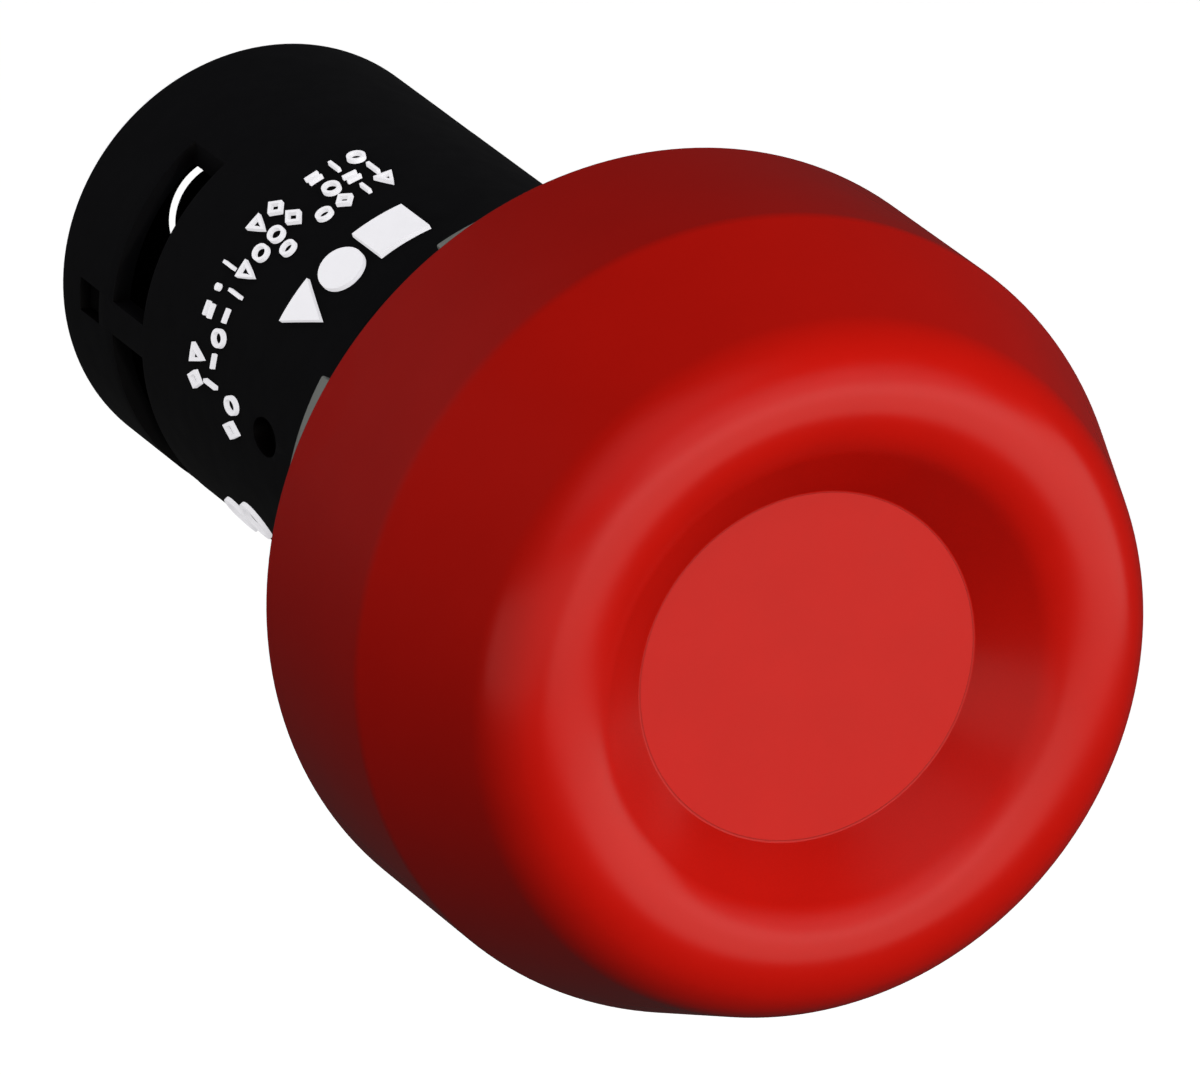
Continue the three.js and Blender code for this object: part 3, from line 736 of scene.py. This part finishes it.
def terminal_screw(number, x, z):
    tail, seat, top = 29.3, 33.8, 35.6
    outline = fillet([(0, tail, 0), (1.15, tail, 0.2), (1.15, seat, 0.1), (2.2, seat, 0.15),
                      (2.2, top - 0.2, 0.5), (1.5, top, 0.5), (0, top, 0)], closed=False)
    screw = as_object(f"terminal_screw_head_{number}", revolve(outline, 64, centre=(x, z)))
    half, reach, drive_y = 0.3, 1.6, top - 0.9
    drive = [block(x - half, x + half, drive_y, top + 1, z - reach, z + reach),
             block(x - reach, x + reach, drive_y, top + 1, z - half, z + half)]
    combine(screw, drive, "DIFFERENCE")
    clean(screw)
    bevel(screw, 0.06)
    return piece(screw, "base", STEEL, [f"terminal_screw_{number}"])


TOWER_R, TOWER_BORE_R = 2.85, 2.45


def contact_block():
    y0, y1, tower_y = 27.5, 29.0, 37.2
    outline = fillet([(0, y0, 0), (9.25, y0, 0.15), (9.25, y1, 0.15), (0, y1, 0)], closed=False)
    shape = as_object("contact_block_towers", revolve(outline, 96))
    for side in (-1, 1):
        rail = block(*sorted((side * 7.1, side * 8.6)), 17.6, y0 + 0.5, -4.9, 4.9)
        round_edge = rod(0, 0, LEDGE_R - 2 * FIT, 17, y0 + 1, 96)
        combine(shape, [shared_space(rail, round_edge)], "UNION")
    joins = [rod(0, 0, 1.4, y1 - 0.5, COVER_FRONT_Y - FIT, 32)]
    joins += [rod(0, z, 0.8, y0 - 1, y0 + 0.5, 32) for z in (POLE, -POLE)]
    joins += [rod(x, z, TOWER_R, y1 - 0.5, tower_y, 64) for x, z in poles()]
    combine(shape, joins, "UNION")
    cuts = []
    for x, z in poles():
        out = 1 if x > 0 else -1
        cuts.append(rod(x, z, TOWER_BORE_R, y1, tower_y + 1, 64))
        cuts.append(block(*sorted((x + out * 0.9, x + out * 6)), y1, SLOT_Y1, z - 2, z + 2))
        cuts.append(block(*sorted((out * 6.1, out * 7.1)), y0 - 1, y1 + 1, z - 1.3, z + 1.3))
    combine(shape, cuts, "DIFFERENCE")
    clean(shape)
    bevel(shape, 0.04)
    return piece(shape, "base", SHADED_BLACK_PARTS, ["contact_block"])


# ---- raised marks on the housing ----
MARK_HEIGHT = 0.22
MARK_SINK = 0.04


def on_body(u, y, lift):
    """A point on the housing: u is arc length in mm from +X towards +Z, y is along the axis."""
    angle = u / BODY_R
    radius = BODY_R + lift
    return (radius * math.cos(angle), y, radius * math.sin(angle))


def stroke(bm, path, width, closed=False):
    """A raised line of the given width along a path of (u, y) points on the housing."""
    points = []
    count = len(path)
    spans = count if closed else count - 1
    for k in range(spans):
        a, b = Vector(path[k]), Vector(path[(k + 1) % count])
        steps = max(1, math.ceil((b - a).length / 0.6))
        points += [a.lerp(b, s / steps) for s in range(steps)]
    if not closed:
        points.append(Vector(path[-1]))
    rings = []
    total = len(points)
    for k, here in enumerate(points):
        before = points[k - 1] if closed or k > 0 else here
        after = points[(k + 1) % total] if closed or k < total - 1 else here
        first = (here - before).normalized() if (here - before).length > 1e-9 else None
        second = (after - here).normalized() if (after - here).length > 1e-9 else None
        along = ((first or second) + (second or first)).normalized()
        across = Vector((-along.y, along.x))
        lean = across.dot(Vector((-(first or second).y, (first or second).x)))
        reach = width / 2 / max(0.5, lean)
        ring = []
        for offset, lift in ((-1, -MARK_SINK), (-0.86, MARK_HEIGHT), (0.86, MARK_HEIGHT), (1, -MARK_SINK)):
            spot = here + across * reach * offset
            ring.append(bm.verts.new(on_body(spot.x, spot.y, lift)))
        rings.append(ring)
    pairs = list(zip(rings[:-1], rings[1:]))
    if closed:
        pairs.append((rings[-1], rings[0]))
    for low, high in pairs:
        for s in range(4):
            nxt = (s + 1) % 4
            bm.faces.new((low[s], low[nxt], high[nxt], high[s]))
    if not closed:
        bm.faces.new(rings[0])
        bm.faces.new(list(reversed(rings[-1])))


def filled(bm, outline):
    """A raised solid patch with a convex outline of (u, y) points."""
    centre = sum((Vector(p) for p in outline), Vector((0, 0))) / len(outline)
    layers = 6
    rings = []
    for k in range(1, layers + 1):
        share = k / layers * 0.97
        spots = [centre + (Vector(p) - centre) * share for p in outline]
        rings.append([bm.verts.new(on_body(*spot, MARK_HEIGHT)) for spot in spots])
    foot = [bm.verts.new(on_body(*p, -MARK_SINK)) for p in outline]
    hub = bm.verts.new(on_body(*centre, MARK_HEIGHT))
    base = bm.verts.new(on_body(*centre, -MARK_SINK))
    count = len(outline)
    for k in range(count):
        nxt = (k + 1) % count
        bm.faces.new((hub, rings[0][k], rings[0][nxt]))
        bm.faces.new((base, foot[nxt], foot[k]))
    for low, high in list(zip(rings[:-1], rings[1:])) + [(rings[-1], foot)]:
        for k in range(count):
            nxt = (k + 1) % count
            bm.faces.new((low[k], high[k], high[nxt], low[nxt]))


def circle(u, y, radius, steps, stretch=1.0):
    turns = [FULL_TURN * k / steps for k in range(steps)]
    return [(u + radius * math.cos(t), y + stretch * radius * math.sin(t)) for t in turns]


def subdivide(corners, length=0.45):
    """The outline of a polygon with points no further apart than a length."""
    outline = []
    for k, corner in enumerate(corners):
        a, b = Vector(corner), Vector(corners[(k + 1) % len(corners)])
        steps = max(1, math.ceil((b - a).length / length))
        outline += [tuple(a.lerp(b, s / steps)) for s in range(steps)]
    return outline


def at_angle(degrees):
    return math.radians(degrees) * BODY_R


def large_marks(bm):
    """Three bold plain shapes: a square, a disc and a triangle."""
    y0, y1 = 13.75, 17.15
    middle = (y0 + y1) / 2
    for kind, degrees, half in (("square", 115, 1.45), ("disc", 131, 1.25), ("triangle", 144.5, 1.25)):
        u = at_angle(degrees)
        if kind == "square":
            filled(bm, subdivide([(u - half, y0), (u + half, y0), (u + half, y1), (u - half, y1)]))
        elif kind == "disc":
            filled(bm, circle(u, middle, half, 36, (y1 - y0) / 2 / half))
        else:
            filled(bm, subdivide([(u, y0), (u + half, y1), (u - half, y1)]))


def small_mark(bm, kind, u, y0, tall, half=0.37, line=0.2):
    """One small generic mark inside a cell that is 2 * half wide, with its lower edge at y0."""
    y1 = y0 + tall
    middle = (y0 + y1) / 2
    if kind == "bar":
        stroke(bm, [(u, y0), (u, y1)], line)
    elif kind == "dash":
        stroke(bm, [(u - half, middle), (u + half, middle)], line)
    elif kind == "double":
        for share in (0.28, 0.72):
            stroke(bm, [(u - half, y0 + share * tall), (u + half, y0 + share * tall)], line)
    elif kind == "ring":
        stroke(bm, circle(u, middle, half, 20, (tall - line) / 2 / half), line, closed=True)
    elif kind == "diamond":
        stroke(bm, [(u - half, middle), (u, y0), (u + half, middle), (u, y1)], line, closed=True)
    elif kind == "triangle":
        stroke(bm, [(u - half, y1), (u, y0), (u + half, y1)], line, closed=True)
    elif kind == "dot":
        filled(bm, circle(u, middle, 0.2, 14))


# Rows of small marks: first angle, step in degrees, lower edge, height and the marks in order.
ROWS = (
    (103.5, 6.3, 19.95, 1.05, ("triangle", "bar", "diamond", "ring", "", "ring")),
    (103.5, 6.1, 21.55, 1.3, ("bar", "double", "ring", "", "diamond", "ring", "ring", "triangle", "bar",
                              "dash", "ring", "dash", "bar")),
    (104.0, 6.2, 23.45, 1.15, ("ring", "bar", "double", "", "diamond", "triangle", "", "bar", "dot",
                               "double", "", "triangle", "diamond")),
    (178.0, 6.6, 18.95, 1.4, ("ring", "diamond")),
)


def small_rows(bm):
    for first, step, y0, tall, kinds in ROWS:
        for k, kind in enumerate(kinds):
            small_mark(bm, kind, at_angle(first + step * k), y0, tall)


def low_marks(bm):
    """A pair of wide rings low on the housing."""
    for degrees, y0 in ((214, 19.4), (219, 22.4)):
        small_mark(bm, "ring", at_angle(degrees), y0, 2.6, half=0.9, line=0.3)


def body_marks():
    """All the raised marks in one piece; their glow lights nothing else."""
    bm = bmesh.new()
    large_marks(bm)
    small_rows(bm)
    low_marks(bm)
    bmesh.ops.recalc_face_normals(bm, faces=bm.faces)
    marks = as_object("raised_body_marks", bm)
    marks.visible_diffuse = False
    marks.visible_glossy = False
    return piece(marks, "base", GLOWING_WHITE)


# ---- springs ----
def spring(name, radius, wire, y0, y1, turns, centre=(0, 0), node=None):
    bm = helix_tube(radius, wire, y0, y1, turns)
    bmesh.ops.transform(bm, matrix=Matrix.Translation((centre[0], 0, centre[1])), verts=bm.verts)
    coil = as_object(name, bm)
    piece(coil, "base", STEEL, [node], sharp=60)
    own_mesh(coil)


def springs():
    low, high = extent("main_spring")
    spring("main_spring_coil", 4, 0.25, low.y, high.y, 5, node="main_spring")
    for label, z in (("upper", POLE), ("lower", -POLE)):
        low, high = extent(f"contact_spring_{label}")
        spring(f"contact_spring_coil_{label}", 1.15, 0.2, low.y, high.y, 5,
               (0, z), f"contact_spring_{label}")


# ---- CAD nodes that keep their own mesh ----
def dress_nodes():
    """Gives the nodes that are shown as they were packed a detailed material."""
    looks = {"head_screw": STEEL, "pusher": CREAM, "detent_pin_left": STEEL, "detent_pin_right": STEEL,
             "detent_spring_left": STEEL, "detent_spring_right": STEEL,
             "contact_bridge_upper": BRASS, "contact_bridge_lower": BRASS}
    for number in range(1, 5):
        looks[f"fixed_contact_{number}"] = BRASS
        looks[f"fixed_tip_{number}"] = SILVER
        looks[f"bridge_tip_{number}"] = SILVER
        looks[f"terminal_clamp_{number}"] = STEEL
    for node, material in looks.items():
        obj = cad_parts[node]
        obj.data.materials.clear()
        obj.data.materials.append(material)


# ---- stage, light and camera ----
def floor():
    """A wide pale floor below the object that lights nothing and isn't reflected."""
    drop, half = 75, 4000
    bm = bmesh.new()
    corners = [bm.verts.new((x, y, head_low.z - drop)) for x, y in
               ((-half, -half), (half, -half), (half, half), (-half, half))]
    bm.faces.new(corners)
    ground = as_object("floor", bm)
    surface = Surface("pale_floor", (0.9, 0.9, 0.9), 0.9)
    surface.shader.inputs["Emission Color"].default_value = (1, 1, 1, 1)
    surface.shader.inputs["Emission Strength"].default_value = 0.75
    surface.shader.inputs["Specular IOR Level"].default_value = 0.0
    surface.vary_colour(0.01, 3)
    ground.data.materials.append(surface.material)
    ground.visible_diffuse = False
    ground.visible_glossy = False


def softbox(name, azimuth, elevation, distance, width, height, strength, colour=(1, 1, 1), seen=True):
    """An area light aimed at the head. Azimuth is from -Y towards +X, as seen from the front.
    A light that is not seen gives no reflection of itself."""
    a, e = math.radians(azimuth), math.radians(elevation)
    toward = Vector((math.sin(a) * math.cos(e), -math.cos(a) * math.cos(e), math.sin(e)))
    target = Vector((0, -0.010, 0))
    data = bpy.data.lights.new(name, "AREA")
    data.shape = "RECTANGLE"
    data.size = width
    data.size_y = height
    data.energy = strength * width * height * math.pi
    data.color = colour
    light = bpy.data.objects.new(name, data)
    light.location = target + toward * distance
    light.rotation_euler = toward.to_track_quat("Z", "Y").to_euler()
    light.visible_glossy = seen
    light.visible_camera = False
    bpy.context.scene.collection.objects.link(light)


def lights():
    warm = (1.0, 0.97, 0.88)
    softbox("right_box", 35, -5, 1.0, 2.0, 0.65, 0.95, warm)
    softbox("left_box", -52, -2, 1.0, 1.8, 0.50, 0.42, warm)
    softbox("front_fill", 20, 18, 1.0, 1.15, 0.54, 3.35, seen=False)
    softbox("top_fill", -30, 45, 1.0, 0.93, 0.73, 1.2, seen=False)
    softbox("rear_fill", -150, 15, 1.0, 0.93, 0.93, 0.7, seen=False)
    world = bpy.data.worlds.new("studio")
    world.use_nodes = True
    background = world.node_tree.nodes["Background"]
    background.inputs["Color"].default_value = (1, 1, 1, 1)
    background.inputs["Strength"].default_value = 0.03
    bpy.context.scene.world = world
    bpy.context.scene.view_settings.view_transform = "Standard"


# The camera's sideways and backward directions, and where it stands from the cap disc's centre.
VIEW_RIGHT = (0.9074282, -0.4195218, 0.0239913)
VIEW_BACK = (-0.4016136, -0.849065, 0.3432132)
VIEW_FROM = (-378.60, -777.25, 322.11)
LENS = 588.56


def camera():
    right = Vector(VIEW_RIGHT).normalized()
    back = Vector(VIEW_BACK).normalized()
    up = back.cross(right).normalized()
    right = up.cross(back)
    data = bpy.data.cameras.new("camera")
    data.lens = LENS
    data.sensor_width = 36
    data.dof.use_dof = False
    view = bpy.data.objects.new("camera", data)
    place = Vector((0, DISC_Y, 0)) * MM + Vector(VIEW_FROM) * MM
    view.matrix_world = Matrix((
        (right.x, up.x, back.x, place.x),
        (right.y, up.y, back.y, place.y),
        (right.z, up.z, back.z, place.z),
        (0, 0, 0, 1),
    ))
    bpy.context.scene.collection.objects.link(view)
    bpy.context.scene.camera = view


mushroom_head()
cap_disc()
stem()
stem_seal()
front_barrel()
gasket()
clamp_washer()
mounting_nut()
rear_housing()
rear_cover()
for number, (x, z) in enumerate(poles(), start=1):
    terminal_screw(number, x, z)
contact_block()
body_marks()
springs()
dress_nodes()
floor()
lights()
camera()
